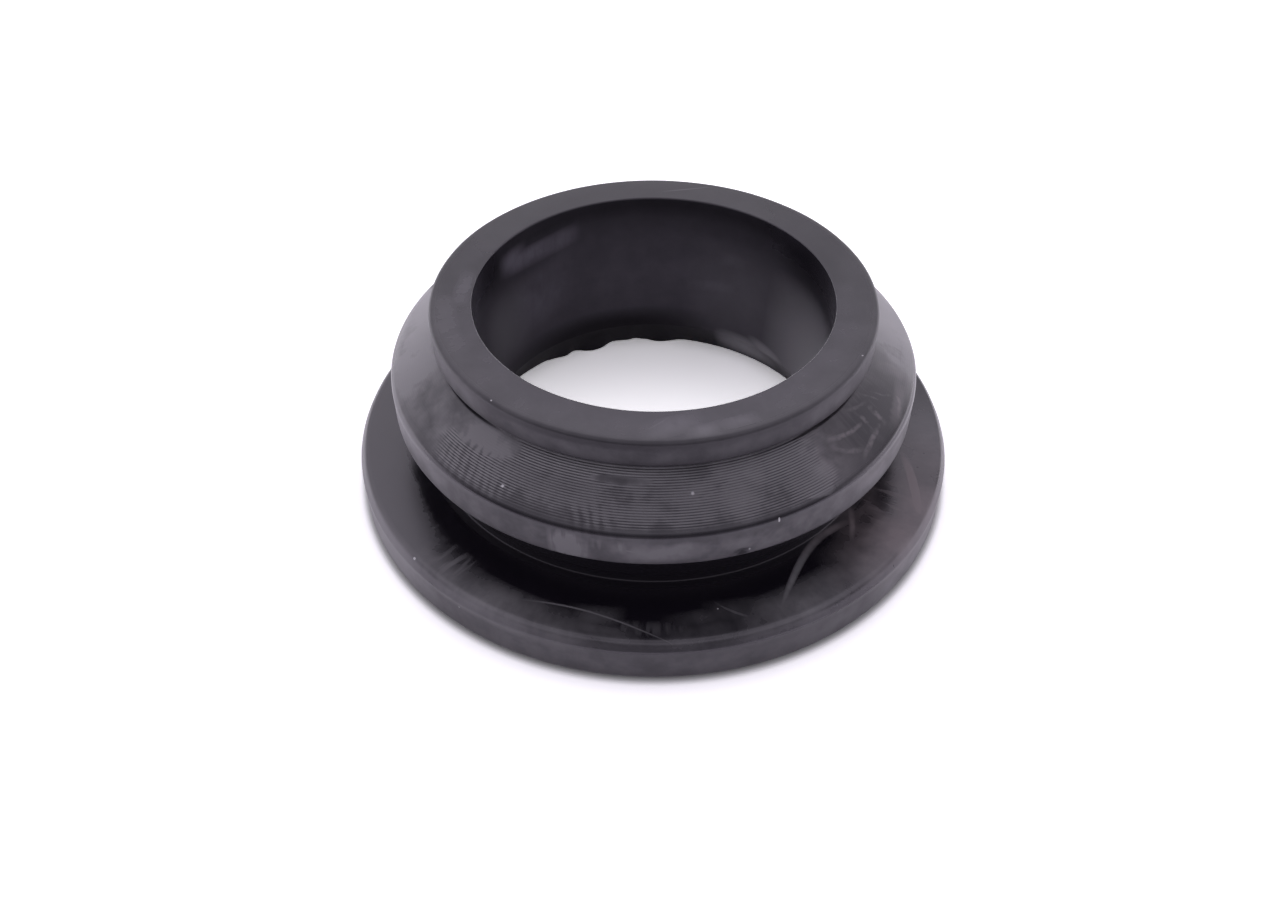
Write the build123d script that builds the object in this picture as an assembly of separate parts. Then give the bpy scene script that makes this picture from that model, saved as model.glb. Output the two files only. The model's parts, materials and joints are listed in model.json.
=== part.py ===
from build123d import *
import os

# Snap-in rubber sealing ring: it clips into a round hole in a panel and grips a tube.
# One moulded piece, turned about +Z. The flange's flat face lies on z = 0, the origin is
# the centre of that face, and the nose points up. All sizes are in millimetres.

# The tube that the bore grips
tube_diameter = 32.0
tube_squeeze = 1.1  # how much smaller than the tube the bore is, on the radius
lead_in_width = 1.7  # the bore opens by this much at the flange, on the radius
lead_in_depth = 3.0

# The panel that the groove takes
panel_thickness = 4.5
panel_clearance = 0.25

# The walls around the bore
neck_wall = 4.8  # from the bore to the bottom of the groove
nose_wall = 3.5  # from the bore to the outside of the nose

# The flange
flange_reach = 6.3  # beyond the neck
flange_thickness = 4.0
flange_rim_radius = 0.7

# The lip that holds the panel
lip_reach = 2.5  # beyond the neck
lip_land = 3.0  # height of its straight rim
lip_corner_radius = 0.4

# The cone and the nose above it
cone_height = 2.85
crease_depth = 0.4  # undercut between the cone and the nose
crease_height = 0.5
nose_height = 2.2  # straight wall above the crease
nose_edge_radius = 0.3

# Radii of the turned section
bore_radius = tube_diameter / 2 - tube_squeeze
lead_in_radius = bore_radius + lead_in_width
neck_radius = bore_radius + neck_wall
nose_radius = bore_radius + nose_wall
crease_radius = nose_radius - crease_depth
flange_radius = neck_radius + flange_reach
lip_radius = neck_radius + lip_reach

# Heights of the turned section
lip_bottom = flange_thickness + panel_thickness + panel_clearance
lip_top = lip_bottom + lip_land
cone_top = lip_top + cone_height
nose_bottom = cone_top + crease_height
nose_top = nose_bottom + nose_height

# Corners that are rounded
flange_rim = (flange_radius, flange_thickness)
lip_corner = (lip_radius, lip_top)
nose_edge = (nose_radius, nose_top)


def ring_section():
    """Half section of the ring, from the lead-in round the outside and down the bore."""
    outline = Polyline(
        (lead_in_radius, 0),
        (flange_radius, 0),
        flange_rim,
        (neck_radius, flange_thickness),
        (neck_radius, lip_bottom),
        (lip_radius, lip_bottom),
        lip_corner,
        (crease_radius, cone_top),
        (nose_radius, nose_bottom),
        nose_edge,
        (bore_radius, nose_top),
        (bore_radius, lead_in_depth),
        close=True,
    )
    section = make_face(Plane.XZ * outline)
    section = rounded(section, flange_rim, flange_rim_radius)
    section = rounded(section, lip_corner, lip_corner_radius)
    return rounded(section, nose_edge, nose_edge_radius)


def rounded(section, corner, radius):
    """The section with its corner at (distance from the axis, height) rounded."""
    point = Vector(corner[0], 0, corner[1])
    return fillet(section.vertices().sort_by_distance(point)[0], radius)


sealing_ring = revolve(ring_section(), Axis.Z)

os.makedirs("parts", exist_ok=True)
export_step(sealing_ring, "parts/sealing_ring.step")
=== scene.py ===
import json
import math
from collections import namedtuple

import bpy
import numpy as np
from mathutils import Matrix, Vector, noise


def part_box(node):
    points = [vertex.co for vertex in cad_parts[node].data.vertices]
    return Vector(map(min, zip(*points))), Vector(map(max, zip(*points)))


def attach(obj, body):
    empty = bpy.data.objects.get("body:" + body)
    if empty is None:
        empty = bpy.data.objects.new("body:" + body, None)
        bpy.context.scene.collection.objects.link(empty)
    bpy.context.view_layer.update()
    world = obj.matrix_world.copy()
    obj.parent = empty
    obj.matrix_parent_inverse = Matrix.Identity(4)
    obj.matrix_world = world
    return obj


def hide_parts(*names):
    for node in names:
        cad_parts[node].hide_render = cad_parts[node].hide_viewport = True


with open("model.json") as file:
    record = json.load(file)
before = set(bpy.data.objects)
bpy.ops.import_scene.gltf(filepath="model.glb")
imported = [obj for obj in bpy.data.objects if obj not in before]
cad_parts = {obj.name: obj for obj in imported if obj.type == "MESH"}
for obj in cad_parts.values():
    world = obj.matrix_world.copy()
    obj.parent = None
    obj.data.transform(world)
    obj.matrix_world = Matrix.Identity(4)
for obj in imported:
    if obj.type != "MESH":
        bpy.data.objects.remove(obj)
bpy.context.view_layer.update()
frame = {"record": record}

# The looks of a moulded rubber sealing ring: a turned body whose cone carries fine concentric
# ridges, with the scuffs, scratches and dust that a handled rubber part has, and with painted
# light and shade in places. Angles go round the ring from its front (-Y) towards +X. Lengths
# are in millimetres until a mesh is made.
MM = 0.001
NODE = "sealing_ring"

# ---------------------------------------------------------------- the turned section

box_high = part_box(NODE)[1]
mounts = {mount["name"]: mount for mount in frame["record"]["mounts"]}

bore_radius = mounts["tube_bore"]["dims"]["r_mm"]
flange_radius = box_high[0] / MM
nose_top = box_high[2] / MM

lead_in_radius = 16.6
lead_in_depth = 3.0
flange_thickness = 4.0
rim_height = 3.2
rim_radius = 25.6
neck_radius = 19.7
lip_bottom = 8.75
lip_radius = 22.2
lip_top = 11.75
crease_radius = 18.0
crease_bottom = 14.6
nose_radius = 18.4
nose_bottom = 15.1

# Fine concentric ridges, above a smooth strip at the foot of the cone
RIDGE_PITCH = 0.205
RIDGE_DEPTH = 0.095
RIDGE_SAMPLES = 4  # rings of the mesh to each ridge
SMOOTH_STRIP = 0.42

# Each face of the section starts at the corner in its row. They run outwards under the
# flange, up the outside and down the bore.
# face, corner's radius, corner's height, corner's rounding, spacing of rings on the face
Face = namedtuple("Face", "name radius height rounding spacing")
FACES = (
    Face("base", lead_in_radius, 0.0, 0.15, 2.4),
    Face("flange_side", flange_radius, 0.0, 0.5, 0.9),
    Face("rim", flange_radius, rim_height, 0.5, 0.4),
    Face("flange_top", rim_radius, flange_thickness, 0.5, 1.2),
    Face("neck", neck_radius, flange_thickness, 0.12, 1.2),
    Face("lip_under", neck_radius, lip_bottom, 0.15, 1.2),
    Face("land", lip_radius, lip_bottom, 0.15, 0.22),
    Face("cone", lip_radius, lip_top, 0.75, RIDGE_PITCH / RIDGE_SAMPLES),
    Face("crease", crease_radius, crease_bottom, 0.06, 0.15),
    Face("nose", nose_radius, nose_bottom, 0.12, 0.6),
    Face("top", nose_radius, nose_top, 0.32, 0.9),
    Face("bore", bore_radius, nose_top, 0.12, 1.4),
    Face("lead_in", bore_radius, lead_in_depth, 0.5, 0.5),
)
FACE_NAMES = [face.name for face in FACES]
CORNERS = np.array([(face.radius, face.height) for face in FACES])
FACE_LENGTHS = np.linalg.norm(np.roll(CORNERS, -1, axis=0) - CORNERS, axis=1)
FACE_STARTS = np.concatenate([[0.0], np.cumsum(FACE_LENGTHS)])
SECTION_LENGTH = FACE_STARTS[-1]

ARC_STEPS = 7  # round a corner with a rounding above LARGE_ROUNDING
SMALL_ARC_STEPS = 3
LARGE_ROUNDING = 0.25
SUPPORT = 0.12  # from a corner's rounding to the nearest ring on a face
SEGMENTS = 420
SEAM_ANGLE = -110.0


def face_start(name):
    """Distance along the section at which a face starts."""
    return FACE_STARTS[FACE_NAMES.index(name)]


def face_length(name):
    return FACE_LENGTHS[FACE_NAMES.index(name)]


def corner_trim(index):
    """What a corner's rounding takes of each face beside it, the directions of those faces
    away from it, and half the angle between them."""
    back = CORNERS[index - 1] - CORNERS[index]
    ahead = CORNERS[(index + 1) % len(CORNERS)] - CORNERS[index]
    back = back / np.linalg.norm(back)
    ahead = ahead / np.linalg.norm(ahead)
    half_angle = math.acos(np.clip(back @ ahead, -1, 1)) / 2
    return FACES[index].rounding / math.tan(half_angle), back, ahead, half_angle


def corner_rings(index):
    """Rings round a rounded corner, as (radius, height, distance along the section)."""
    trim, back, ahead, half_angle = corner_trim(index)
    rounding = FACES[index].rounding
    bisector = (back + ahead) / np.linalg.norm(back + ahead)
    centre = CORNERS[index] + bisector * rounding / math.sin(half_angle)
    first = CORNERS[index] + back * trim - centre
    last = CORNERS[index] + ahead * trim - centre
    turn = math.pi - 2 * half_angle
    steps = ARC_STEPS if rounding > LARGE_ROUNDING else SMALL_ARC_STEPS
    rings = []
    for step in range(steps + 1):
        share = step / steps
        arm = first * math.sin((1 - share) * turn) + last * math.sin(share * turn)
        point = centre + arm / math.sin(turn)
        along = FACE_STARTS[index] + trim * (2 * share - 1)
        rings.append((point[0], point[1], along % SECTION_LENGTH))
    return rings


def face_rings(index):
    """Rings on the straight part of a face, closer together beside its corners."""
    face = FACES[index]
    following = (index + 1) % len(FACES)
    start = corner_trim(index)[0]
    end = FACE_LENGTHS[index] - corner_trim(following)[0]
    if face.name == "cone":
        distances = np.arange(SMOOTH_STRIP, end - SUPPORT / 2, face.spacing)
    elif end - start < 3 * SUPPORT:
        distances = np.array([(start + end) / 2])
    else:
        count = max(1, round((end - start - 2 * SUPPORT) / face.spacing))
        distances = np.linspace(start + SUPPORT, end - SUPPORT, count + 1)
    direction = (CORNERS[following] - CORNERS[index]) / FACE_LENGTHS[index]
    points = CORNERS[index] + distances[:, None] * direction
    return [(p[0], p[1], FACE_STARTS[index] + d) for p, d in zip(points, distances)]


def section_rings():
    """All rings of the section: radius, height and distance along it."""
    rings = []
    for index in range(len(FACES)):
        rings += corner_rings(index) + face_rings(index)
    return np.array(rings)


def ring_normals(rings):
    """Outward normals of the section at its rings."""
    ahead = np.roll(rings[:, :2], -1, axis=0) - np.roll(rings[:, :2], 1, axis=0)
    normals = np.stack([ahead[:, 1], -ahead[:, 0]], axis=1)
    return normals / np.linalg.norm(normals, axis=1, keepdims=True)


# ---------------------------------------------------------------- its fine shape

# Noises over the skin: size in mm and seed
WAVY = (5.0, 0.0)
WORN_RIM = (1.6, 5.0)
UNEVEN_RIDGES = (6.0, 3.0)
FLASH_TEETH = (1.5, 9.0)

# Slight waviness of the whole skin, above the foot that stands on the bench
UNDULATION = 0.02
FOOT_HEIGHT = 0.3

RIDGE_MIDDLE = 0.6  # the share of a ridge's height that lies below the plain cone
RIDGE_STRENGTH = 0.85
RIDGE_UNEVENNESS = 0.5
RIDGE_FADE = 0.2  # the way in which they grow above the smooth strip
RIDGE_FIRST = 0.4  # share of their strength at its edge

# Worn patches where the ridges are nearly gone: angle, distance up the cone, half sizes
Patch = namedtuple("Patch", "angle up half_angle half_up")
WORN = (
    Patch(-81, 2.5, 34, 12.0),
    Patch(-43, 4.4, 12, 1.9),
    Patch(-7, 4.0, 8, 0.35),
    Patch(80, 2.5, 45, 12.0),
)
WORN_EDGE = 0.12
WORN_SHARE = 0.95
WORN_RAGGED = 0.10

# Flash left inside the lower end of the lead-in: angle, half width in degrees, reach
Flash = namedtuple("Flash", "angle half_width reach")
FLASHES = (
    Flash(202, 9, 1.0),
    Flash(214, 7, 0.45),
    Flash(178, 9, 0.6),
    Flash(191, 5, 0.2),
)
FLASH_RAGGED = 0.12
FLASH_LEAST = 0.05  # reach from which its edge is ragged
# It pushes the lead-in, this much of the bore above it and this much of the base
INSIDE_ABOVE = 0.5
INSIDE_BELOW = 1.0

# Deeper folds in the crease under the nose: angle, half width in degrees, depth
Fold = namedtuple("Fold", "angle half_width depth")
FOLDS = (
    Fold(-53, 17, 0.30),
    Fold(46, 24, 0.28),
)
FOLD_UP = 0.12
FOLD_HALF_HEIGHT = 0.45

# The nick in the lip's lower edge
NICK_ANGLE = 17.5
NICK_UP = 0.35
NICK_HALF_WIDTH = 1.6
NICK_HALF_HEIGHT = 0.4
NICK_DEPTH = 0.32


def turned_apart(angles, centre):
    """Signed degrees from a centre angle, the short way round."""
    return (angles - centre + 180.0) % 360.0 - 180.0


def hump(distance):
    """A smooth bump that is 1 in the middle and 0 from a distance of 1 on."""
    return np.clip(1 - distance**2, 0, 1) ** 2


def wear_noise(angles, along, size, seed):
    """Smooth noise from -1 to 1 over the ring's skin, without a seam."""
    field = np.empty((len(along), len(angles)))
    around = np.radians(angles)
    xs = np.sin(around) * lip_radius / size
    ys = np.cos(around) * lip_radius / size
    for i, distance in enumerate(along):
        height = distance / size
        field[i] = [noise.noise((x + seed, y, height)) for x, y in zip(xs, ys)]
    return field


def ridge_strength(angles, up):
    """How strong the ridges are, from 0 to 1, by angle and distance up the cone."""
    strength = np.ones((len(up), len(angles)))
    ragged = WORN_RAGGED * wear_noise(angles, up, *WORN_RIM)
    for patch in WORN:
        across = turned_apart(angles, patch.angle) / patch.half_angle
        upwards = (up - patch.up) / patch.half_up
        distance = np.hypot(across[None, :], upwards[:, None]) + ragged
        strength *= 1 - WORN_SHARE * np.clip((1 - distance) / WORN_EDGE, 0, 1)
    uneven = RIDGE_UNEVENNESS * wear_noise(angles, up, *UNEVEN_RIDGES)
    strength *= np.clip(RIDGE_STRENGTH + uneven, 0, 1)
    fade = np.clip((up - SMOOTH_STRIP) / RIDGE_FADE, RIDGE_FIRST, 1)
    return strength * fade[:, None]


def ridges(angles, along):
    """Height of the concentric ridges on the cone, and how strong they are."""
    up = along - face_start("cone")
    on_cone = (up > SMOOTH_STRIP) & (up < face_length("cone"))
    wave = np.abs(np.sin(math.pi * (up - SMOOTH_STRIP) / RIDGE_PITCH)) - RIDGE_MIDDLE
    strength = np.zeros((len(up), len(angles)))
    strength[on_cone] = ridge_strength(angles, up[on_cone])
    return RIDGE_DEPTH * wave[:, None] * strength, strength


def dent(angles, along, angle, centre, half_angle, half_along):
    """A smooth dip in the skin, from 0 round it to 1 in its middle."""
    across = turned_apart(angles, angle) / half_angle
    upwards = (along - centre) / half_along
    return hump(np.minimum(np.hypot(across[None, :], upwards[:, None]), 1))


def dents(angles, along):
    """Depth of the nick in the lip's lower edge and of the folds under the nose."""
    nick_centre = face_start("land") + NICK_UP
    nick = dent(angles, along, NICK_ANGLE, nick_centre, NICK_HALF_WIDTH, NICK_HALF_HEIGHT)
    push = -NICK_DEPTH * nick
    centre = face_start("crease") + FOLD_UP
    for fold in FOLDS:
        push -= fold.depth * dent(angles, along, fold.angle, centre, fold.half_width, FOLD_HALF_HEIGHT)
    return push


def flash_reach(angles, heights):
    """How far the ragged flash stands into the lead-in, most at its lower end."""
    reach = np.zeros(len(angles))
    for flash in FLASHES:
        distance = abs(turned_apart(angles, flash.angle)) / flash.half_width
        reach += flash.reach * hump(np.minimum(distance, 1))
    ragged = FLASH_RAGGED * wear_noise(angles, np.zeros(1), *FLASH_TEETH)[0]
    reach += ragged * (reach > FLASH_LEAST)
    return np.clip(1 - heights / lead_in_depth, 0, 1)[:, None] ** 2 * reach[None, :]


def ring_mesh():
    """The ring's detailed mesh, with what its material needs at each vertex."""
    rings = section_rings()
    normals = ring_normals(rings)
    angles = SEAM_ANGLE + 360.0 * np.arange(SEGMENTS) / SEGMENTS
    along = rings[:, 2]
    ridge_height, ridge_share = ridges(angles, along)
    push = ridge_height + dents(angles, along)
    above_foot = rings[:, 1] > FOOT_HEIGHT
    push += UNDULATION * wear_noise(angles, along, *WAVY) * above_foot[:, None]
    radius = rings[:, 0][:, None] + normals[:, 0][:, None] * push
    height = rings[:, 1][:, None] + normals[:, 1][:, None] * push
    inside = (along > face_start("lead_in") - INSIDE_ABOVE) | (along < INSIDE_BELOW)
    radius -= flash_reach(angles, rings[:, 1]) * inside[:, None]
    around = np.radians(angles)
    points = np.stack([radius * np.sin(around), -radius * np.cos(around), height], axis=2)
    mesh = skin_mesh(points * MM, along)
    store(mesh, "ridge", ridge_share)
    return mesh


def store(mesh, name, values):
    """Keeps one number per vertex for the material."""
    stored = mesh.attributes.new(name, "FLOAT", "POINT")
    stored.data.foreach_set("value", values.ravel().astype(np.float32))


def skin_mesh(points, along):
    """A closed skin over a grid of points: rings by angles."""
    ring_count, segment_count = points.shape[:2]
    ring, segment = np.meshgrid(np.arange(ring_count), np.arange(segment_count), indexing="ij")
    next_ring = (ring + 1) % ring_count
    next_segment = (segment + 1) % segment_count
    corners = [(ring, segment), (ring, next_segment), (next_ring, next_segment), (next_ring, segment)]
    quads = np.stack([r * segment_count + s for r, s in corners], axis=2).reshape(-1, 4)
    mesh = bpy.data.meshes.new("ring_skin")
    mesh.from_pydata(points.reshape(-1, 3), [], quads.tolist())
    mesh.polygons.foreach_set("use_smooth", np.ones(len(quads), bool))
    skin_map(mesh, ring, segment, along)
    store(mesh, "along", np.repeat(along, segment_count))
    mesh.update()
    return mesh


def skin_map(mesh, ring, segment, along):
    """UV map: round the ring across, along the section up."""
    # The first rings lie just before the first corner, so they count from below zero
    ends = along.copy()
    ends[: np.argmin(along)] -= SECTION_LENGTH
    ends = np.append(ends, ends[0] + SECTION_LENGTH)
    v = (ends - ends[0]) / SECTION_LENGTH
    u = np.arange(SEGMENTS + 1) / SEGMENTS
    corners = [(ring, segment), (ring, segment + 1), (ring + 1, segment + 1), (ring + 1, segment)]
    coordinates = np.stack([np.stack([u[s], v[r]], axis=2) for r, s in corners], axis=2)
    layer = mesh.uv_layers.new(name="OFBake")
    layer.data.foreach_set("uv", coordinates.astype(np.float32).ravel())


# ---------------------------------------------------------------- node helpers


class Nodes:
    """Short calls that add nodes to one tree and link them."""

    def __init__(self, tree):
        self.tree = tree

    def add(self, kind, inputs=None, **settings):
        node = self.tree.nodes.new(kind)
        for name, value in settings.items():
            setattr(node, name, value)
        for name, value in (inputs or {}).items():
            self.feed(node, name, value)
        return node

    def feed(self, node, name, value):
        self.feed_socket(node.inputs[name], value)

    def feed_socket(self, socket, value):
        """Links a socket to another node's, or sets its own value."""
        if isinstance(value, bpy.types.NodeSocket):
            self.tree.links.new(value, socket)
        else:
            socket.default_value = value

    def math(self, operation, *values, clamp=False):
        node = self.add("ShaderNodeMath", operation=operation, use_clamp=clamp)
        for place, value in enumerate(values):
            self.feed(node, place, value)
        return node.outputs[0]

    def noise(self, vector, scale, detail=2.0, roughness=0.5):
        inputs = {"Vector": vector, "Scale": scale, "Detail": detail, "Roughness": roughness}
        return self.add("ShaderNodeTexNoise", inputs).outputs["Fac"]

    def remap(self, value, low, high, to_low=0.0, to_high=1.0, smooth=True):
        kind = "SMOOTHSTEP" if smooth else "LINEAR"
        node = self.add("ShaderNodeMapRange", interpolation_type=kind, clamp=True)
        for name, part in zip(("Value", "From Min", "From Max", "To Min", "To Max"),
                              (value, low, high, to_low, to_high)):
            self.feed(node, name, part)
        return node.outputs[0]


def new_group(name, inputs, outputs):
    """An empty node group with float sockets, its Nodes, and its input and output nodes."""
    tree = bpy.data.node_groups.new(name, "ShaderNodeTree")
    for label in inputs:
        tree.interface.new_socket(label, in_out="INPUT", socket_type="NodeSocketFloat")
    for label in outputs:
        tree.interface.new_socket(label, in_out="OUTPUT", socket_type="NodeSocketFloat")
    nodes = Nodes(tree)
    return tree, nodes, nodes.add("NodeGroupInput").outputs, nodes.add("NodeGroupOutput")


# ---------------------------------------------------------------- the rubber's marks

# A mark lies on a face at an angle and a distance from the face's start, and spans half
# an angle and half a distance each way. Slant and bow move its ends along the section.
Mark = namedtuple("Mark", "face angle at half_angle half_at slant bow strength")

# Smudges. Those on the cone's shoulders, the land and the flange's side at the far left and right are
# partly painted highlights, where these faces turn away and catch the bright light behind
SMUDGES_AND_SIDE_HIGHLIGHTS = (
    # The cone
    Mark("cone", -58, 3.2, 7, 1.3, -0.5, 0.0, 0.50),
    Mark("cone", -62, 1.4, 6, 0.9, 0.4, 0.0, 0.35),
    Mark("cone", -42, 4.0, 11, 1.1, 0.4, 0.0, 0.55),
    # Partly painted highlights on the cone's left shoulder
    Mark("cone", -86, 3.4, 16, 1.8, 0.0, 0.0, 0.90),
    Mark("cone", -99, 2.0, 12, 1.6, 0.0, 0.0, 0.90),
    Mark("cone", -75, 0.9, 8, 1.0, 0.0, 0.0, 0.60),
    Mark("cone", -1, 1.7, 6, 0.8, 0.1, 0.0, 0.35),
    Mark("cone", 9, 3.2, 9, 0.6, 1.1, 0.2, 0.5),
    Mark("cone", 27, 4.0, 9, 0.9, 0.2, 0.0, 0.30),
    # Partly painted highlights on the cone's right shoulder
    Mark("cone", 97, 2.4, 13, 2.4, 0.0, 0.0, 1.20),
    Mark("cone", 86, 0.9, 10, 1.0, 0.0, 0.0, 0.70),
    Mark("cone", 67, 1.3, 7, 0.7, 0.3, 0.0, 0.60),
    Mark("cone", 160, 3.4, 14, 0.9, 0.8, 0.0, 0.45),
    Mark("cone", -150, 2.0, 12, 1.1, -0.6, 0.0, 0.50),
    # The land
    Mark("land", 4, 1.6, 9, 1.1, 0.0, 0.0, 0.3),
    # Partly painted highlights on the land's left and right sides
    Mark("land", -66, 2.3, 18, 1.6, 0.0, 0.0, 0.9),
    Mark("land", -75, 1.0, 14, 1.6, 0.0, 0.0, 1.15),
    Mark("land", 50, 1.8, 16, 1.6, 0.0, 0.0, 0.6),
    Mark("land", 185, 1.6, 16, 1.0, 0.3, 0.0, 0.5),
    # The flange
    # Partly painted highlights on the flange's side at the left and right
    Mark("flange_side", -53, 2.0, 14, 2.6, 0.0, 0.0, 0.75),
    Mark("flange_side", 57, 2.0, 17, 2.6, 0.0, 0.0, 0.85),
    Mark("flange_side", 170, 2.0, 20, 1.6, 0.4, 0.0, 0.40),
    Mark("flange_top", -29, 0.6, 20, 2.2, -0.3, 0.0, 1.0),
    Mark("flange_top", -9, 0.8, 9, 0.9, -0.5, 0.0, 0.42),
    Mark("flange_top", -10.5, 2.0, 6.0, 1.2, 0.2, 0.0, 0.42),
    Mark("flange_top", 8, 0.7, 10, 1.2, 0.3, 0.0, 0.34),
    Mark("flange_top", 8.5, 2.0, 7.0, 1.0, 0.3, 0.0, 0.30),
    Mark("flange_top", 16, 2.2, 6.5, 1.3, -0.3, 0.0, 0.38),
    Mark("flange_top", 21.5, 0.9, 5.0, 1.2, 0.0, 0.0, 0.40),
    Mark("flange_top", 28, 1.1, 15, 2.2, 0.3, 0.0, 0.85),
    Mark("flange_top", 15.5, 2.1, 3.4, 0.24, -1.2, 0.2, 0.8),
    Mark("flange_top", 22, 1.5, 5, 0.6, 0.5, 0.0, 0.5),
    Mark("flange_top", 52, 0.8, 18, 2.0, 0.0, 0.0, 0.75),
    Mark("flange_top", 35.5, 4.81, 17, 0.42, 2.90, -3.19, 1.5),
    Mark("flange_top", 68.6, 1.93, 10, 0.46, 1.7, -0.1, 1.8),
    Mark("flange_top", 50, 4.35, 5, 0.40, 1.2, 0.0, 0.9),
    Mark("flange_top", 84, 1.2, 14, 3.2, 0.0, 0.0, 0.45),
    Mark("flange_top", 150, 1.2, 18, 2.0, 0.6, 0.0, 0.6),
    Mark("flange_top", 196, 2.0, 14, 1.4, -0.8, 0.0, 0.5),
    Mark("flange_top", -128, 1.4, 16, 2.2, 0.5, 0.0, 0.5),
    Mark("flange_top", 50, 2.6, 14, 2.6, 0.4, 0.0, 0.45),
    Mark("flange_top", 51, 2.1, 5, 1.4, 0.4, 0.0, 0.35),
    # The top
    Mark("top", 12, 1.1, 5, 0.8, 0.0, 0.0, 0.62),
    Mark("top", 21, 1.3, 6, 0.7, 0.0, 0.0, 0.60),
    Mark("top", 5, 1.8, 9, 1.2, 0.6, 0.0, 0.45),
    Mark("top", -75, 1.2, 14, 1.2, 0.0, 0.0, 0.30),
    Mark("top", -92, 2.6, 10, 0.8, 0.0, 0.0, 0.35),
    # The bore
    Mark("bore", -134, 3.0, 19, 1.2, 0.0, -0.7, 1.2),
    Mark("bore", -122, 2.2, 8, 1.3, 0.0, 0.0, 0.9),
    Mark("bore", 158, 8.9, 10, 0.7, 0.4, 0.0, 0.25),
    Mark("bore", 150, 5.4, 5, 0.8, 0.0, 0.0, 0.20),
    Mark("bore", -135, 7.6, 15, 3.6, 0.6, 0.0, 0.40),
    Mark("bore", 20, 5.0, 24, 2.4, 1.2, 0.0, 0.40),
    # Painted light: the lead-in's right side, made lighter where it reflects the bright floor
    Mark("lead_in", 148, 1.6, 9, 1.9, 0.0, 0.0, 1.0),
)

# Smears combed along the section
STREAKS = (
    Mark("land", -16.0, 1.2, 4.4, 1.5, 0.0, 0.0, 1.5),
    Mark("land", -7.8, 1.8, 4.0, 0.7, 0.0, 0.0, 0.7),
    Mark("flange_top", -40.6, 1.4, 5.8, 2.0, 0.0, 0.0, 0.80),
    Mark("flange_top", -1, 1.2, 16, 0.9, 0.0, 0.0, 0.30),
    Mark("flange_top", 58, 3.3, 10, 2.2, 0.0, 0.0, 0.5),
    Mark("cone", 58, 2.9, 14, 2.4, 0.0, 0.0, 0.26),
    Mark("cone", 90, 3.2, 12, 2.0, 0.0, 0.0, 0.8),
)

# Dusty areas with a firm, ragged edge; the one on the left of the flange's top is also a painted
# reflection
DUST_PATCHES_AND_REFLECTION = (
    # Partly painted reflection: the left of the flange's top, lighter beyond the lip's reflected
    # shadow
    Mark("flange_top", -82, 0.0, 41, 4.2, 0.0, 0.0, 1.0),
    Mark("cone", 34, 1.7, 4.8, 1.6, -0.5, 0.0, 0.8),
    Mark("land", 5.5, 1.3, 8.5, 1.3, 0.1, 0.0, 0.32),
)

# Dusty bloom all round the ring
BANDS = (
    Mark("cone", 0, 2.9, 900, 2.9, 0.0, 0.0, 1.14),
    Mark("top", 0, 1.8, 900, 3.6, 0.0, 0.0, 0.24),
    Mark("bore", 180, 8.6, 95, 9.0, 0.0, 2.0, 0.60),
    Mark("bore", 0, 7.5, 900, 7.4, 0.0, 0.0, 0.30),
    Mark("flange_top", 180, 0.6, 80, 2.6, 0.0, 0.0, 0.34),
    Mark("land", 0, 1.2, 900, 1.9, 0.0, 0.0, 0.48),
    Mark("nose", 0, 0.9, 900, 1.1, 0.0, 0.0, 0.34),
    Mark("nose", -54, 0.9, 30, 1.2, 0.0, 0.0, 0.48),
    Mark("nose", 42, 0.9, 20, 1.2, 0.0, 0.0, 0.46),
    Mark("flange_side", 0, 1.6, 900, 2.1, 0.0, 0.0, 0.32),
    Mark("rim", 0, 0.5, 900, 0.9, 0.0, 0.0, 0.20),
    Mark("flange_top", 64, 1.0, 28, 3.8, 0.0, 0.0, 0.40),
    Mark("flange_top", 56, 4.6, 12, 3.0, 0.0, 0.0, 0.30),
)

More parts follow.
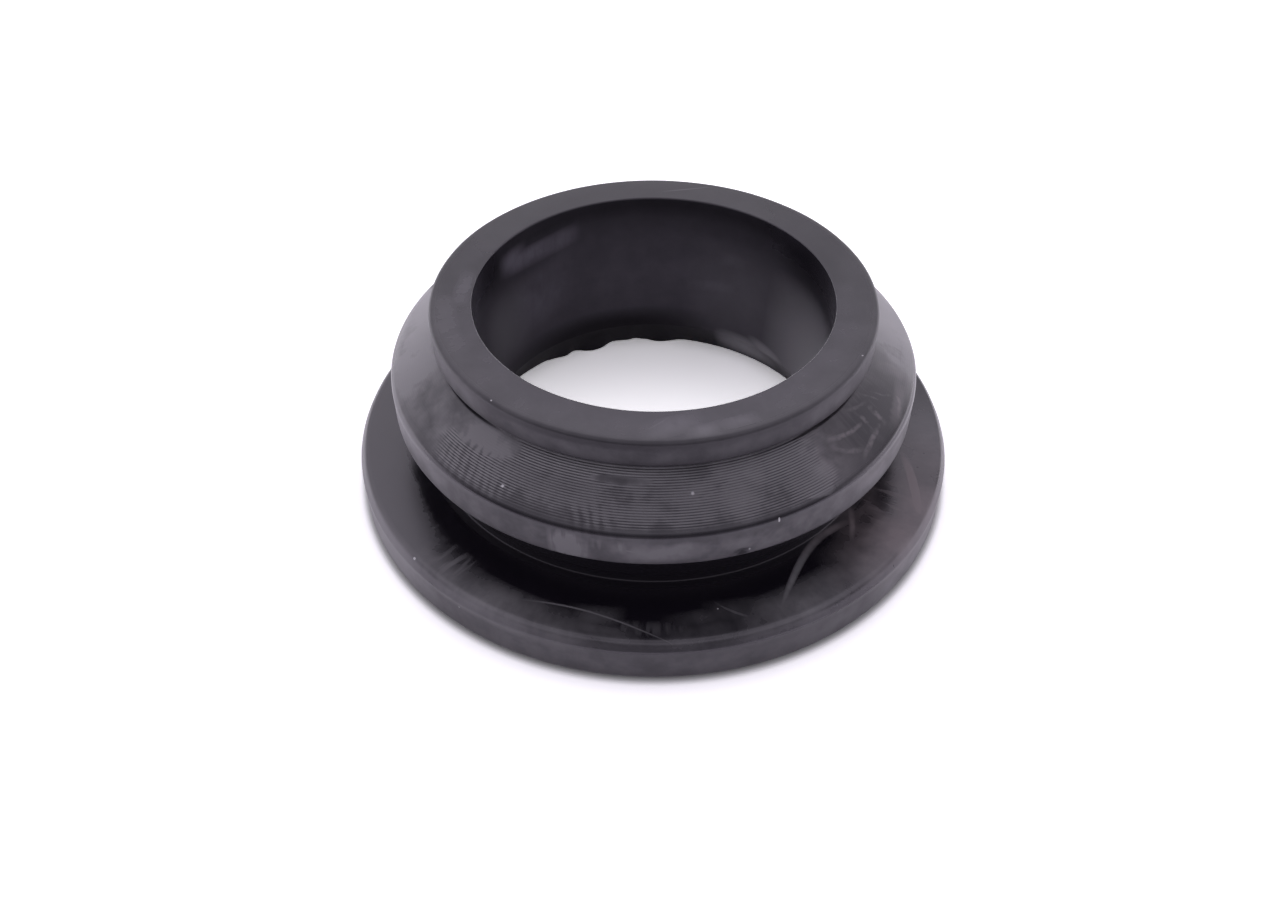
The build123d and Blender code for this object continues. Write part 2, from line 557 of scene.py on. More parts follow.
# Places where the dust is wiped off; some of them darken the rubber as painted shade
WIPED_AND_PAINTED_SHADE = (
    Mark("cone", 60, 2.5, 24, 4.0, 0.0, 0.0, 1.25),
    # Painted shade in the crease under the nose
    Mark("cone", -53, 5.0, 15, 0.25, -0.1, 0.0, 1.1),
    Mark("cone", -60, 2.2, 13, 3.2, 0.0, 0.0, 0.75),
    Mark("cone", -38, 1.5, 13, 2.2, 0.0, 0.0, 0.30),
    Mark("cone", -7, 4.0, 9, 0.45, 0.0, 0.0, 0.8),
    Mark("cone", 21.3, 2.8, 3.6, 1.0, -1.3, 0.0, 0.55),
    # Painted shade in the crease under the nose
    Mark("crease", 52, 0.3, 30, 0.7, 0.0, 0.0, 0.9),
    Mark("top", 180, 1.8, 130, 3.6, 0.0, 0.0, 0.8),
    # Painted shade: a dark line just under the nose's rounded top edge
    Mark("nose", -20, 1.75, 26, 0.45, 0.0, 0.0, 0.8),
    Mark("land", -30, 1.5, 11, 2.6, 0.0, 0.0, 0.45),
    Mark("land", 72, 1.5, 12, 2.6, 0.0, 0.0, 0.8),
    # Painted shade in the nick in the lip's lower edge
    Mark("land", 17.2, 0.35, 1.7, 0.5, 0.0, 0.0, 1.1),
    # Painted shade in the bore's sides just under its top edge
    Mark("bore", 108, 1.0, 24, 4.2, 0.0, 0.0, 1.0),
    Mark("bore", -108, 1.0, 14, 3.0, 0.0, 0.0, 1.0),
    # Painted shadow low in the bore, next to the floor
    Mark("bore", -160, 14.6, 46, 2.6, 0.0, 0.0, 1.2),
    Mark("flange_top", 53.5, 3.8, 3.4, 0.8, 0.0, 0.0, 1.1),
    Mark("flange_top", 61.0, 3.5, 4.6, 1.2, 0.3, 0.0, 1.1),
    # Painted shade on the flange's top at the neck's foot, under the lip
    Mark("flange_top", 57, 5.5, 3.0, 0.8, 0.0, 0.0, 1.0),
    Mark("flange_top", -44.4, 1.8, 1.4, 0.8, 0.0, 0.0, 0.9),
)

# Faces that are matt from the mould
MATT = (
    Mark("cone", 0, 3.1, 900, 2.9, 0.0, 0.0, 1.0),
    Mark("land", 0, 1.2, 900, 1.75, 0.0, 0.0, 1.0),
    Mark("nose", 0, 1.0, 900, 2.0, 0.0, 0.0, 1.0),
    Mark("lead_in", 0, 1.7, 900, 3.0, 0.0, 0.0, 1.0),
    Mark("bore", 0, 9.6, 900, 8.0, 0.0, 0.0, 1.0),
    Mark("bore", 192, 4.0, 64, 9.0, 0.0, 0.0, 1.0),
    Mark("flange_side", 0, 1.4, 900, 1.9, 0.0, 0.0, 1.0),
    Mark("neck", 0, 0.0, 900, 0.8, 0.0, 0.0, 1.0),
)

# Cross-hatched dust, rubbed over the ridges
HATCHED = (
    Mark("cone", -39, 1.7, 11, 2.1, 0.0, 0.0, 1.5),
    Mark("cone", -11.5, 0.9, 5.5, 1.6, 0.0, 0.0, 1.2),
    Mark("cone", 60, 2.8, 14, 2.4, 0.0, 0.0, 1.0),
)

# Where the dust is cooler in colour
COOLER = (
    Mark("bore", 0, 7.0, 900, 10.0, 0.0, 0.0, 1.6),
)

# Places with a warmer stain
STAINED = (
    Mark("cone", 58, 2.5, 22, 4.5, 0.0, 0.0, 0.6),
    Mark("flange_top", 60, 3.0, 26, 5.5, 0.0, 0.0, 1.2),
)

# Thin clean scratches
SCRATCHES = (
    Mark("flange_top", -12.5, 2.42, 18, 0.11, -0.7, -2.4, 1.4),
    Mark("flange_top", -2, 1.2, 5, 0.10, -1.1, 0.0, 0.5),
    Mark("flange_top", 165, 2.2, 13, 0.12, 1.6, -0.5, 1.0),
    Mark("flange_top", -142, 3.2, 9, 0.10, -1.2, 0.3, 0.8),
    Mark("cone", 14, 3.1, 8, 0.08, 1.1, 0.0, 0.4),
    Mark("cone", -128, 3.4, 8, 0.10, 0.9, 0.0, 0.7),
    Mark("land", -3.5, 1.35, 1.7, 0.08, -0.15, 0.0, 1.2),
    Mark("land", 152, 1.6, 4, 0.08, 0.7, 0.0, 0.8),
    Mark("top", 1.5, 2.1, 3.4, 0.14, 0.8, 0.0, 0.6),
    Mark("top", 170, 1.6, 8, 0.12, 0.9, -0.2, 0.5),
    Mark("bore", -135, 3.1, 17, 0.35, 0.0, -0.7, 0.5),
)

# Scratches torn into the dust, with ragged sides
TORN = (
    Mark("cone", 49.5, 3.05, 7.0, 0.26, -0.37, 0.2, 1.05),
    Mark("cone", 53.8, 1.45, 6.0, 0.30, 0.50, -0.1, 0.95),
    Mark("cone", 59.6, 2.4, 1.6, 1.3, 0.0, 0.0, 1.0),
    Mark("cone", 55.5, 2.9, 1.2, 0.6, 0.0, 0.0, 0.8),
    Mark("cone", 67.5, 1.2, 5, 0.40, 0.60, 0.0, 1.1),
    Mark("cone", 46.5, 1.9, 4.0, 0.30, -0.9, 0.3, 0.6),
    Mark("cone", 63, 3.2, 3.0, 0.30, -1.3, 0.2, 0.6),
    Mark("cone", 66, 2.7, 3.0, 0.28, -1.2, 0.2, 0.6),
    Mark("cone", 57, 3.9, 5.0, 0.24, -0.5, 0.2, 0.6),
    Mark("cone", 148, 2.6, 9, 0.14, -1.1, 0.2, 1.0),
)

# Dust that lies in soft blotches
BLOTCHED = (
    Mark("cone", 0, 2.6, 900, 4.0, 0.0, 0.0, 1.2),
    Mark("land", 0, 1.5, 900, 2.6, 0.0, 0.0, 1.4),
    Mark("flange_top", 0, 2.0, 900, 5.0, 0.0, 0.0, 0.8),
    Mark("flange_side", 0, 1.8, 900, 3.0, 0.0, 0.0, 1.0),
    Mark("nose", 0, 1.0, 900, 2.0, 0.0, 0.0, 1.0),
    Mark("top", 0, 1.8, 900, 4.0, 0.0, 0.0, 0.5),
)

# Painted highlights: ridges whose crests are made pale where they catch the light
CREST_HIGHLIGHTS_PAINTED = (
    Mark("cone", -24, 4.2, 32, 1.0, 0.4, 0.0, 0.24),
    Mark("cone", -40, 2.0, 14, 1.8, 0.0, 0.0, 0.18),
    Mark("cone", 24, 3.8, 18, 1.2, -0.3, 0.0, 0.14),
    Mark("cone", 185, 3.0, 60, 2.6, 0.0, 0.0, 0.10),
)

# Painted light: paler patches low in the bore and on the lead-in, standing for light reflected from
# the floor below
PAINTED_BORE_LIGHT = (
    Mark("bore", 92, 12.6, 46, 9.0, 0.0, 0.0, 0.72),
    Mark("bore", 145, 9.5, 24, 6.5, 0.0, 0.0, 0.10),
    Mark("bore", 131, 14.1, 12, 1.0, -0.4, 0.0, 0.60),
    Mark("lead_in", 142, 1.2, 15, 2.2, 0.0, 0.0, 0.75),
    Mark("bore", -115, 8.6, 15, 4.5, 0.0, 0.0, 0.14),
)

SPECKS = (
    Mark("cone", 172, 2.2, 0.45, 0.16, 0.0, 0.0, 0.8),
    Mark("flange_top", 138, 1.8, 0.35, 0.14, 0.0, 0.0, 0.9),
    Mark("flange_top", -155, 3.9, 0.28, 0.12, 0.0, 0.0, 0.7),
    Mark("land", -166, 1.1, 0.28, 0.14, 0.0, 0.0, 0.7),
    Mark("cone", -31.5, 1.4, 0.40, 0.14, 0.0, 0.0, 0.9),
    Mark("cone", 8.5, 3.04, 0.55, 0.20, 0.0, 0.0, 0.45),
    Mark("land", 24.6, 2.78, 0.22, 0.26, 0.0, 0.0, 1.0),
    Mark("land", 18.9, 0.50, 0.25, 0.14, 0.0, 0.0, 0.5),
    Mark("flange_top", -47.1, -0.1, 0.34, 0.14, 0.0, 0.0, 1.0),
    Mark("flange_top", 12.7, 2.7, 0.20, 0.08, 0.0, 0.0, 0.6),
    Mark("top", -40.6, 0.15, 0.26, 0.10, 0.0, 0.0, 0.8),
    Mark("top", 62.8, 0.35, 0.26, 0.10, 0.0, 0.0, 0.6),
    Mark("flange_side", -34.8, 2.7, 0.20, 0.08, 0.0, 0.0, 0.45),
)


def mark_group():
    """Group that adds one mark to those before it."""
    place = ("Before", "Angle", "Along", "Centre", "At")
    shape = ("Half Angle", "Half At", "Slant", "Bow", "Strength")
    tree, nodes, given, result = new_group("mark", place + shape, ("After",))
    # Adding nothing makes each mark wait for those before it, which keeps the shader small
    nothing = nodes.math("MINIMUM", given["Before"], 0.0)
    turn = nodes.math("SUBTRACT", nodes.math("ADD", given["Angle"], nothing), given["Centre"])
    turn = nodes.math("WRAP", turn, 180.0, -180.0)
    across = nodes.math("DIVIDE", turn, given["Half Angle"])
    square = nodes.math("MULTIPLY", across, across)
    bowed = nodes.math("MULTIPLY", square, given["Bow"])
    shift = nodes.math("MULTIPLY_ADD", across, given["Slant"], bowed)
    off = nodes.math("SUBTRACT", given["Along"], nodes.math("ADD", given["At"], shift))
    upwards = nodes.math("DIVIDE", off, given["Half At"])
    height = nodes.math("MULTIPLY", upwards, upwards)
    fade_across = nodes.math("SUBTRACT", 1.0, square, clamp=True)
    fade_up = nodes.math("SUBTRACT", 1.0, height, clamp=True)
    mask = nodes.math("MULTIPLY", nodes.math("MULTIPLY", fade_across, fade_up), given["Strength"])
    nodes.feed(result, "After", nodes.math("MAXIMUM", given["Before"], mask))
    return tree


def marks(nodes, group, angle, along, chosen):
    """One mask for all the chosen marks."""
    mask = 0.0
    for mark in chosen:
        at = face_start(mark.face) + mark.at
        values = {
            "Before": mask, "Angle": angle, "Along": along, "Centre": mark.angle, "At": at,
            "Half Angle": mark.half_angle, "Half At": mark.half_at,
            "Slant": mark.slant, "Bow": mark.bow, "Strength": mark.strength,
        }
        mask = add_mark(nodes, group, values)
    return mask


def add_mark(nodes, group, values):
    node = nodes.tree.nodes.new("ShaderNodeGroup")
    node.node_tree = group
    for name, value in values.items():
        nodes.feed(node, name, value)
    return node.outputs["After"]


# ---------------------------------------------------------------- the rubber

RUBBER_COLOUR = (0.0048, 0.0038, 0.0066, 1.0)
# Dust colour, also laid on as painted highlights
DUST_AND_LIGHT_COLOUR = (0.118, 0.112, 0.125, 1.0)
STAIN_COLOUR = (0.126, 0.102, 0.113, 1.0)
BORE_DUST_COLOUR = (0.118, 0.107, 0.136, 1.0)
# Pale colour of dust specks, also used for painted light in the bore and on the ridges' crests
SPECK_AND_LIGHT_COLOUR = (0.42, 0.405, 0.44, 1.0)
RUBBER_ROUGHNESS = 0.20
SCUFF_ROUGHNESS = 0.45
UNEVEN_ROUGHNESS = 0.12
GLOSS_TINT = (0.94, 0.885, 1.0, 1.0)
GLOSS_LEVEL = 0.54
# How far the ridges' crests are lightened and their valleys darkened, as painted light and shade
CREST_PAINTED_CONTRAST = 0.92
BLOTCH_CONTRAST = 0.55
PATCH_DUST_AND_LIGHT = 0.42
HATCH_PITCH = 2.2
HATCH_SLANT = 0.75
HATCH_WARP = 4.0
HATCH_CONTRAST = 0.5
SCRATCH_WOBBLE = 0.35
SCRATCH_DUST = 0.7
DUST_SHEEN = 0.03
DUST_SHEEN_ROUGHNESS = 0.45
RELIEF_STRENGTH = 0.12
RELIEF_HEIGHT = 0.02
TURNED_SHARE = 0.6  # of the turning marks in the relief
RUBBED_SHARE = 0.4  # of its grain in how smudges break up
# What makes the edge of a patch ragged, dusty and painted alike
PATCH_COMBED = 0.02
PATCH_CLOUDED = 0.3
# Noise scales per mm at which scratches wander and break up
SCRATCH_WANDER = 0.9
SCRATCH_GAPS = 2.0

# Noises: scale per mm, detail and roughness
CLOUD = (0.35, 4.0, 0.6)
BLOTS = (0.38, 3.0, 0.6)
FINE_GRAIN = (5.0, 3.0, 0.6)
# Grain: scales per mm round the ring and along the section
COMBED = (1.7, 0.25)
RUBBED = (1.6, 0.5)
TURNED = (0.12, 9.0)
# Steps between two values, and what comes out below and above them where it isn't 0 and 1
COMBED_STEP = (0.42, 0.62, 0.15, 1.0)
BREAKUP_STEP = (0.4, 1.0, 0.45, 1.0)
GAPS_STEP = (0.35, 0.65, 0.50, 1.10)
UNEVEN_STEP = (0.35, 0.70, 0.85, 1.15)
BLOTS_STEP = (0.3, 0.7, -BLOTCH_CONTRAST, BLOTCH_CONTRAST)
RIDGE_PAINTED_STEP = (0.2, 0.95, -CREST_PAINTED_CONTRAST, CREST_PAINTED_CONTRAST)
CREST_HIGHLIGHT_STEP = (0.75, 1.0)
PATCH_STEP = (0.25, 0.46)
SPECK_STEP = (0.15, 0.5)
MATT_STEP = (0.0, 0.6)


class Skin:
    """The rubber's nodes, with the coordinates that its marks and noises are laid by."""

    def __init__(self, tree):
        self.nodes = Nodes(tree)
        self.mark_group = mark_group()
        self.place()
        self.cloud = self.nodes.noise(self.position, *CLOUD)
        self.combed = self.nodes.remap(self.grain(*COMBED), *COMBED_STEP)

    def place(self):
        """Position in mm, angle in degrees, distance along the section, direction from the axis."""
        nodes = self.nodes
        position = nodes.add("ShaderNodeTexCoord").outputs["Object"]
        scaled = nodes.add("ShaderNodeVectorMath", {0: position, "Scale": 1 / MM}, operation="SCALE")
        self.position = scaled.outputs[0]
        parts = nodes.add("ShaderNodeSeparateXYZ", {0: self.position}).outputs
        back = nodes.math("MULTIPLY", parts["Y"], -1.0)
        self.angle = nodes.math("MULTIPLY", nodes.math("ARCTAN2", parts["X"], back), 180 / math.pi)
        self.along = nodes.add("ShaderNodeAttribute", attribute_name="along").outputs["Fac"]
        flat = nodes.add("ShaderNodeCombineXYZ", {"X": parts["X"], "Y": parts["Y"]}).outputs[0]
        self.around = nodes.add("ShaderNodeVectorMath", {0: flat}, operation="NORMALIZE").outputs[0]

    def grain(self, around_scale, along_scale):
        """Noise stretched round the ring or across it, by its two scales per mm."""
        nodes = self.nodes
        scale = lip_radius * around_scale
        wide = nodes.add("ShaderNodeVectorMath", {0: self.around, "Scale": scale}, operation="SCALE")
        rise = nodes.math("MULTIPLY", self.along, along_scale)
        lift = nodes.add("ShaderNodeCombineXYZ", {"Z": rise}).outputs[0]
        place = nodes.add("ShaderNodeVectorMath", {0: wide.outputs[0], 1: lift}, operation="ADD")
        return nodes.noise(place.outputs[0], 1.0)

    def marks(self, chosen):
        return marks(self.nodes, self.mark_group, self.angle, self.along, chosen)


def ridge_wave(nodes, along):
    """The ridges' height from 0 to 1, and their strength."""
    first = face_start("cone") + SMOOTH_STRIP
    turns = nodes.math("DIVIDE", nodes.math("SUBTRACT", along, first), RIDGE_PITCH)
    wave = nodes.math("ABSOLUTE", nodes.math("SINE", nodes.math("MULTIPLY", turns, math.pi)))
    return wave, nodes.add("ShaderNodeAttribute", attribute_name="ridge").outputs["Fac"]


def ridge_painted_light(nodes, wave, share):
    """Painted light and shade by the ridges: the dust is made lighter on their crests as painted
    highlights, and nearly gone in the valleys as painted shade.
    """
    swing = nodes.remap(wave, *RIDGE_PAINTED_STEP)
    return nodes.math("MULTIPLY_ADD", swing, share, 1.0)


def hatch_shade(skin):
    """Dust rubbed into slanting, gently curved stripes across the ridges."""
    nodes = skin.nodes
    up = nodes.math("SUBTRACT", skin.along, face_start("cone"))
    turn = nodes.math("MULTIPLY_ADD", up, HATCH_SLANT, skin.angle)
    turn = nodes.math("MULTIPLY_ADD", skin.cloud, HATCH_WARP, turn)
    wave = nodes.math("SINE", nodes.math("MULTIPLY", turn, 2 * math.pi / HATCH_PITCH))
    where = nodes.math("MINIMUM", skin.marks(HATCHED), 1.0)
    swing = nodes.math("MULTIPLY", wave, HATCH_CONTRAST)
    return nodes.math("MULTIPLY_ADD", swing, where, 1.0)


def scuffs_and_highlights(skin):
    """Smudges, combed streaks and scratches, as one share of dust; some smudges are painted highlights
    on the ring's far sides.
    """
    nodes = skin.nodes
    rubbed = nodes.math("MULTIPLY", skin.grain(*RUBBED), RUBBED_SHARE)
    breakup = nodes.remap(nodes.math("ADD", skin.cloud, rubbed), *BREAKUP_STEP)
    smudge_and_highlight = nodes.math("MULTIPLY", skin.marks(SMUDGES_AND_SIDE_HIGHLIGHTS), breakup)
    streak = nodes.math("MULTIPLY", skin.marks(STREAKS), skin.combed)
    smudge_and_highlight = nodes.math("MAXIMUM", smudge_and_highlight, streak)
    scratch = nodes.math("MAXIMUM", skin.marks(SCRATCHES), torn_scratches(skin))
    return nodes.math("MAXIMUM", smudge_and_highlight, nodes.math("MULTIPLY", scratch, SCRATCH_DUST))


def torn_scratches(skin):
    """Scratches that wander a little and break up."""
    nodes = skin.nodes
    wander = nodes.math("SUBTRACT", nodes.noise(skin.position, SCRATCH_WANDER), 0.5)
    wobble = nodes.math("MULTIPLY_ADD", wander, SCRATCH_WOBBLE, skin.along)
    broken = nodes.remap(nodes.noise(skin.position, SCRATCH_GAPS), *GAPS_STEP)
    torn = marks(nodes, skin.mark_group, skin.angle, wobble, TORN)
    return nodes.math("MULTIPLY", torn, broken)


def dusty_and_reflecting_patches(skin):
    """Areas of dust with a firm, ragged edge, one of them also a painted reflection."""
    nodes = skin.nodes
    clouded = nodes.math("MULTIPLY", skin.cloud, PATCH_CLOUDED)
    ragged = nodes.math("MULTIPLY_ADD", skin.combed, PATCH_COMBED, clouded)
    edge = nodes.math("ADD", skin.marks(DUST_PATCHES_AND_REFLECTION), ragged)
    return nodes.math("MULTIPLY", nodes.remap(edge, *PATCH_STEP), PATCH_DUST_AND_LIGHT)


def bloom_and_painted_shade(skin):
    """Dust all round the ring, blotched, and wiped off in places; some of the wiped places are painted
    shade.
    """
    nodes = skin.nodes
    uneven = nodes.remap(skin.cloud, *UNEVEN_STEP, smooth=False)
    bloom_and_painted_light = nodes.math("MULTIPLY", skin.marks(BANDS), uneven)
    blots = nodes.remap(nodes.noise(skin.position, *BLOTS), *BLOTS_STEP)
    blotched = nodes.math("MULTIPLY_ADD", blots, skin.marks(BLOTCHED), 1.0)
    bloom_and_painted_light = nodes.math("ADD", nodes.math("MULTIPLY", bloom_and_painted_light, blotched), dusty_and_reflecting_patches(skin))
    return nodes.math("MULTIPLY", bloom_and_painted_light, nodes.math("SUBTRACT", 1.0, skin.marks(WIPED_AND_PAINTED_SHADE)))


def specks_and_painted_light(skin, wave, share):
    """Dust specks, painted light low in the bore, and painted highlights on the ridges' crests."""
    nodes = skin.nodes
    speck = nodes.remap(skin.marks(SPECKS), *SPECK_STEP)
    pale_and_lit = nodes.math("MAXIMUM", speck, skin.marks(PAINTED_BORE_LIGHT))
    crest_highlight = nodes.math("MULTIPLY", nodes.remap(wave, *CREST_HIGHLIGHT_STEP), share)
    crest_highlight = nodes.math("MULTIPLY", crest_highlight, skin.marks(CREST_HIGHLIGHTS_PAINTED))
    return nodes.math("MAXIMUM", pale_and_lit, crest_highlight)


def mixed(nodes, share, first, second):
    """Mixes two colours, each a plain one or another node's."""
    mix = nodes.add("ShaderNodeMix", {"Factor": share}, data_type="RGBA")
    for place, colour in enumerate((first, second)):
        nodes.feed_socket(colour_input(mix, place), colour)
    return colour_output(mix)


def rubber_colour(skin, dust_and_painted_light, pale_and_lit):
    """Black rubber under dust that is warmer or cooler in places, with pale specks and painted light
    over it.
    """
    nodes = skin.nodes
    stain = nodes.math("MINIMUM", skin.marks(STAINED), 1.0)
    cool = nodes.math("MINIMUM", skin.marks(COOLER), 1.0)
    dust_and_light_colour = mixed(nodes, stain, DUST_AND_LIGHT_COLOUR, STAIN_COLOUR)
    dust_and_light_colour = mixed(nodes, cool, dust_and_light_colour, BORE_DUST_COLOUR)
    dust_and_light_mix = mixed(nodes, dust_and_painted_light, RUBBER_COLOUR, dust_and_light_colour)
    return mixed(nodes, pale_and_lit, dust_and_light_mix, SPECK_AND_LIGHT_COLOUR)


def rubber_roughness(skin, dust_and_painted_light):
    """Satin where it is bare, and matt under dust, under the painted highlights and on the matt faces.
    """
    nodes = skin.nodes
    wander = nodes.math("SUBTRACT", skin.cloud, 0.5)
    uneven = nodes.math("MULTIPLY_ADD", wander, UNEVEN_ROUGHNESS, RUBBER_ROUGHNESS)
    matt = nodes.remap(skin.marks(MATT), *MATT_STEP, smooth=False)
    dull = nodes.math("MAXIMUM", dust_and_painted_light, matt)
    return nodes.math("MULTIPLY_ADD", dull, SCUFF_ROUGHNESS - RUBBER_ROUGHNESS, uneven, clamp=True)


def moulded_grain(skin):
    """Faint grain and turning marks, as a normal."""
    nodes = skin.nodes
    fine = nodes.noise(skin.position, *FINE_GRAIN)
    relief = nodes.math("MULTIPLY_ADD", skin.grain(*TURNED), TURNED_SHARE, fine)
    inputs = {"Height": relief, "Strength": RELIEF_STRENGTH, "Distance": RELIEF_HEIGHT * MM}
    return nodes.add("ShaderNodeBump", inputs).outputs["Normal"]


def set_gloss(surface):
    surface.inputs["Specular IOR Level"].default_value = GLOSS_LEVEL
    surface.inputs["Specular Tint"].default_value = GLOSS_TINT
    surface.inputs["Sheen Weight"].default_value = DUST_SHEEN
    surface.inputs["Sheen Roughness"].default_value = DUST_SHEEN_ROUGHNESS
    surface.inputs["Sheen Tint"].default_value = GLOSS_TINT


def rubber_material():
    """Satin black rubber with scuffs, scratches, dust, painted light and shade, and a fine moulded
    grain.
    """
    material = bpy.data.materials.new("rubber_scuffed")
    material.use_nodes = True
    surface = material.node_tree.nodes["Principled BSDF"]
    set_gloss(surface)
    skin = Skin(material.node_tree)
    nodes = skin.nodes
    wave, share = ridge_wave(nodes, skin.along)
    bloom_and_painted_light = nodes.math("MULTIPLY", bloom_and_painted_shade(skin), ridge_painted_light(nodes, wave, share))
    bloom_and_painted_light = nodes.math("MULTIPLY", bloom_and_painted_light, hatch_shade(skin))
    dust_and_painted_light = nodes.math("ADD", scuffs_and_highlights(skin), bloom_and_painted_light, clamp=True)
    colour = rubber_colour(skin, dust_and_painted_light, specks_and_painted_light(skin, wave, share))
    nodes.feed(surface, "Base Color", colour)
    nodes.feed(surface, "Roughness", rubber_roughness(skin, dust_and_painted_light))
    nodes.feed(surface, "Normal", moulded_grain(skin))
    return material


def colour_input(node, place):
    return [socket for socket in node.inputs if socket.type == "RGBA"][place]


def colour_output(node):
    return [socket for socket in node.outputs if socket.type == "RGBA"][0]


# ---------------------------------------------------------------- stage, light and camera

FLOOR_SIZE = 4.0
FLOOR_GAP = 0.00003  # below the ring's underside
FLOOR_COLOUR = (0.90, 0.895, 0.91, 1.0)
FLOOR_REFLECTED = (1.55, 1.51, 1.58, 1.0)
FLOOR_SHOWN = (1.6, 1.585, 1.625, 1.0)  # to the camera, so that it is white round the ring
# Painted contact shadow on the floor round the flange, as the camera sees it: where it fades out, and
# how dark it is
CONTACT_SHADOW_ROUND = (0.0259, 0.0267)
CONTACT_SHADOW_SHARE = 0.30
# Painted light on the floor seen through the bore: it glows to the camera, most towards the front
FLOOR_PAINTED_LIGHT = (0.60, 0.13)
PAINTED_LIGHT_SPREAD = (-0.006, 0.0145)
BORE_INSIDE_ROUND = (0.018, 0.024)
# The white sheet ends in front; its reflection has a painted shadow close round the ring and a darker
# one inside the bore
SHEET_EDGE = (-0.065, -0.040)
SHEET_BEYOND = 0.2
REFLECTED_SHADOW_ROUND = (0.0255, 0.033)
REFLECTED_SHADOW_SHARE = 0.72
BORE_SHADOW_ROUND = (0.0150, 0.0200)
BORE_SHADOW_SHARE = 0.3

# Sines of elevations, and the light that comes from there
SKY_COLOUR = (1.0, 0.975, 1.03, 1.0)
SKY_SHOWN = 1.1  # to the camera
HORIZON_LEVEL = 3.6
HORIZON_ENDS = 0.34
LOW_LEVEL = 0.65
UPPER_HEIGHTS = (0.48, 0.70)
UPPER_LEVEL = 1.5
# The whole sky's share over the back and over the front, and where it changes
SKY_SHARES = (1.1, 0.75)
SKY_TURN = (-0.6, 0.6)
ZENITH_HEIGHTS = (0.74, 0.92)
ZENITH_LEVEL = 0.85
# The side where the camera and its holder are is dark low down
CAMERA_SIDE_SHARE = 0.08
CAMERA_SIDE_HEIGHTS = (0.10, 0.45)
CAMERA_SIDE_SPREAD = (-0.25, 0.45)  # parts of the direction towards the camera at its edges

CAMERA_DISTANCE = 0.104
CAMERA_ELEVATION = 42.76
CAMERA_AIM = Vector((-0.00088, -0.00022, -0.00024))
CAMERA_SENSOR = 36.0
CAMERA_LENS = 31.41
CAMERA_CLIP_START = 0.001


def make_floor():
    """A pale floor that keeps the ring's shadow and shows white where it is lit, with a painted
    contact shadow round the flange, painted light inside the bore and painted shadows in its
    reflection.
    """
    half = FLOOR_SIZE / 2
    corners = [(-half, -half, 0), (half, -half, 0), (half, half, 0), (-half, half, 0)]
    mesh = bpy.data.meshes.new("floor")
    mesh.from_pydata(corners, [], [(0, 1, 2, 3)])
    mesh.materials.append(floor_material())
    floor = bpy.data.objects.new("floor", mesh)
    floor.location.z = -FLOOR_GAP
    bpy.context.scene.collection.objects.link(floor)


def floor_material():
    material = bpy.data.materials.new("floor_white")
    material.use_nodes = True
    material.node_tree.nodes.clear()
    nodes = Nodes(material.node_tree)
    path = nodes.add("ShaderNodeLightPath").outputs
    place = nodes.add("ShaderNodeNewGeometry").outputs["Position"]
    front = nodes.add("ShaderNodeSeparateXYZ", {0: place}).outputs["Y"]
    reach = nodes.add("ShaderNodeVectorMath", {0: place}, operation="LENGTH").outputs["Value"]
    inside = nodes.remap(reach, *BORE_INSIDE_ROUND, 1.0, 0.0)
    reflected = floor_reflected(nodes, path["Is Glossy Ray"], front, reach)
    shown = floor_shown(nodes, reach, inside)
    colour = mixed(nodes, path["Is Camera Ray"], reflected, shown)
    matt = nodes.add("ShaderNodeBsdfDiffuse", {"Color": colour})
    # Painted light: the floor inside the bore glows to the camera, most towards the front
    lift = nodes.math("MULTIPLY", nodes.remap(front, *PAINTED_LIGHT_SPREAD, *FLOOR_PAINTED_LIGHT), inside)
    lift = nodes.math("MULTIPLY", path["Is Camera Ray"], lift)
    painted_glow = nodes.add("ShaderNodeEmission", {"Strength": lift})
    both = nodes.add("ShaderNodeAddShader", {0: matt.outputs[0], 1: painted_glow.outputs[0]})
    nodes.add("ShaderNodeOutputMaterial", {"Surface": both.outputs[0]})
    return material


def floor_reflected(nodes, is_glossy, front, reach):
    """The floor's colour to other rays: to glossy ones it is brighter, dim beyond the sheet's front
    edge, and darkened by painted shadows close round the ring and inside the bore.
    """
    colour = mixed(nodes, is_glossy, FLOOR_COLOUR, FLOOR_REFLECTED)
    sheet_and_shadows = nodes.remap(front, *SHEET_EDGE, SHEET_BEYOND, 1.0)
    # Painted shadows in the floor's reflection, close round the ring and inside the bore
    sheet_and_shadows = nodes.math("MULTIPLY", sheet_and_shadows, nodes.remap(reach, *REFLECTED_SHADOW_ROUND, REFLECTED_SHADOW_SHARE, 1.0))
    sheet_and_shadows = nodes.math("MULTIPLY", sheet_and_shadows, nodes.remap(reach, *BORE_SHADOW_ROUND, BORE_SHADOW_SHARE, 1.0))
    sheet_and_shadows = nodes.add("ShaderNodeMix", {0: is_glossy, 2: 1.0, 3: sheet_and_shadows}).outputs[0]
    faded = nodes.add("ShaderNodeVectorMath", {0: colour, "Scale": sheet_and_shadows}, operation="SCALE")
    return faded.outputs[0]


def floor_shown(nodes, reach, inside):
    """The floor's colour to the camera, with a painted contact shadow round the flange's foot, left
    out inside the bore.
    """
    contact_shadow = nodes.remap(reach, *CONTACT_SHADOW_ROUND, CONTACT_SHADOW_SHARE, 1.0)
    contact_shadow = nodes.math("MAXIMUM", contact_shadow, inside)
    inputs = {0: FLOOR_SHOWN[:3], "Scale": contact_shadow}
    return nodes.add("ShaderNodeVectorMath", inputs, operation="SCALE").outputs[0]


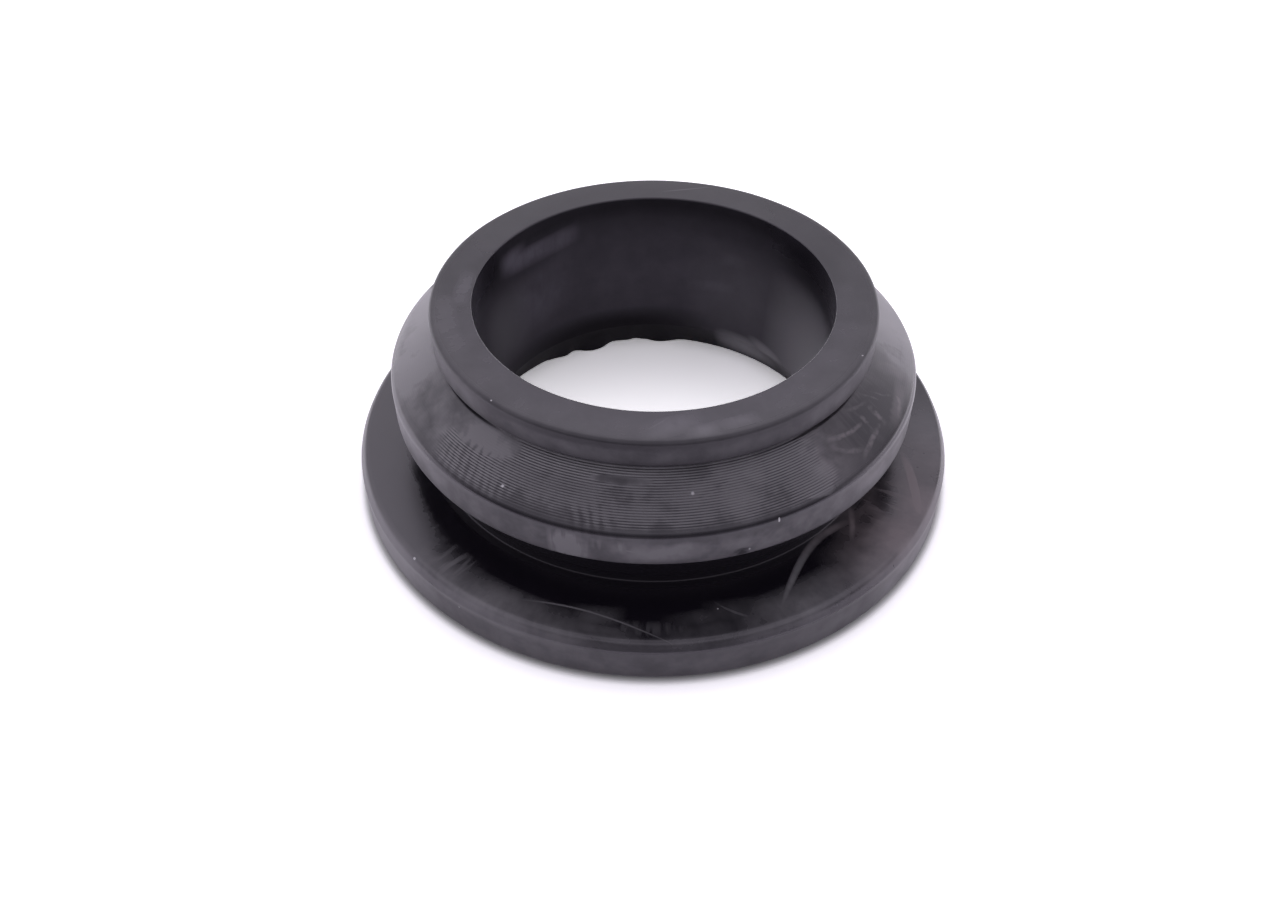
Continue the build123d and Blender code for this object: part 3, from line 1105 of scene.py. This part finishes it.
def make_world():
    """Soft white light all round, dimmer on the side where the camera and its holder are."""
    world = bpy.data.worlds.new("studio")
    bpy.context.scene.world = world
    world.use_nodes = True
    world.node_tree.nodes.clear()
    nodes = Nodes(world.node_tree)
    direction = nodes.add("ShaderNodeTexCoord").outputs["Generated"]
    parts = nodes.add("ShaderNodeSeparateXYZ", {0: direction}).outputs
    rise = parts["Z"]
    level = nodes.remap(rise, 0.0, HORIZON_ENDS, HORIZON_LEVEL, LOW_LEVEL)
    upper = nodes.remap(rise, *UPPER_HEIGHTS, 0.0, UPPER_LEVEL - LOW_LEVEL)
    level = nodes.math("ADD", level, upper)
    zenith = nodes.remap(rise, *ZENITH_HEIGHTS, 0.0, ZENITH_LEVEL - UPPER_LEVEL)
    level = nodes.math("ADD", level, zenith)
    forward = nodes.math("MULTIPLY", parts["Y"], -1.0)
    level = nodes.math("MULTIPLY", level, nodes.remap(forward, *SKY_TURN, *SKY_SHARES))
    towards = nodes.remap(forward, *CAMERA_SIDE_SPREAD)
    lowness = nodes.remap(rise, *CAMERA_SIDE_HEIGHTS, 1.0, 0.0)
    shade = nodes.math("MULTIPLY", nodes.math("MULTIPLY", towards, lowness), 1 - CAMERA_SIDE_SHARE)
    level = nodes.math("MULTIPLY", level, nodes.math("SUBTRACT", 1.0, shade))
    seen = nodes.add("ShaderNodeLightPath").outputs["Is Camera Ray"]
    strength = nodes.add("ShaderNodeMix", {0: seen, 2: level, 3: SKY_SHOWN}).outputs[0]
    sky = nodes.add("ShaderNodeBackground", {"Strength": strength})
    sky.inputs["Color"].default_value = SKY_COLOUR
    nodes.add("ShaderNodeOutputWorld", {"Surface": sky.outputs[0]})


def make_camera():
    camera = bpy.data.cameras.new("camera")
    camera.sensor_width = CAMERA_SENSOR
    camera.lens = CAMERA_LENS
    camera.clip_start = CAMERA_CLIP_START
    view = bpy.data.objects.new("camera", camera)
    elevation = math.radians(CAMERA_ELEVATION)
    view.location = Vector((0, -math.cos(elevation), math.sin(elevation))) * CAMERA_DISTANCE
    view.rotation_euler = (CAMERA_AIM - view.location).to_track_quat("-Z", "Y").to_euler()
    bpy.context.scene.collection.objects.link(view)
    bpy.context.scene.camera = view


# ---------------------------------------------------------------- the ring


def make_ring():
    mesh = ring_mesh()
    mesh.materials.append(rubber_material())
    ring = bpy.data.objects.new("sealing_ring_rubber", mesh)
    bpy.context.scene.collection.objects.link(ring)
    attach(ring, "root")
    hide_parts(NODE)


make_ring()
make_floor()
make_world()
make_camera()
bpy.context.scene.view_settings.view_transform = "Standard"
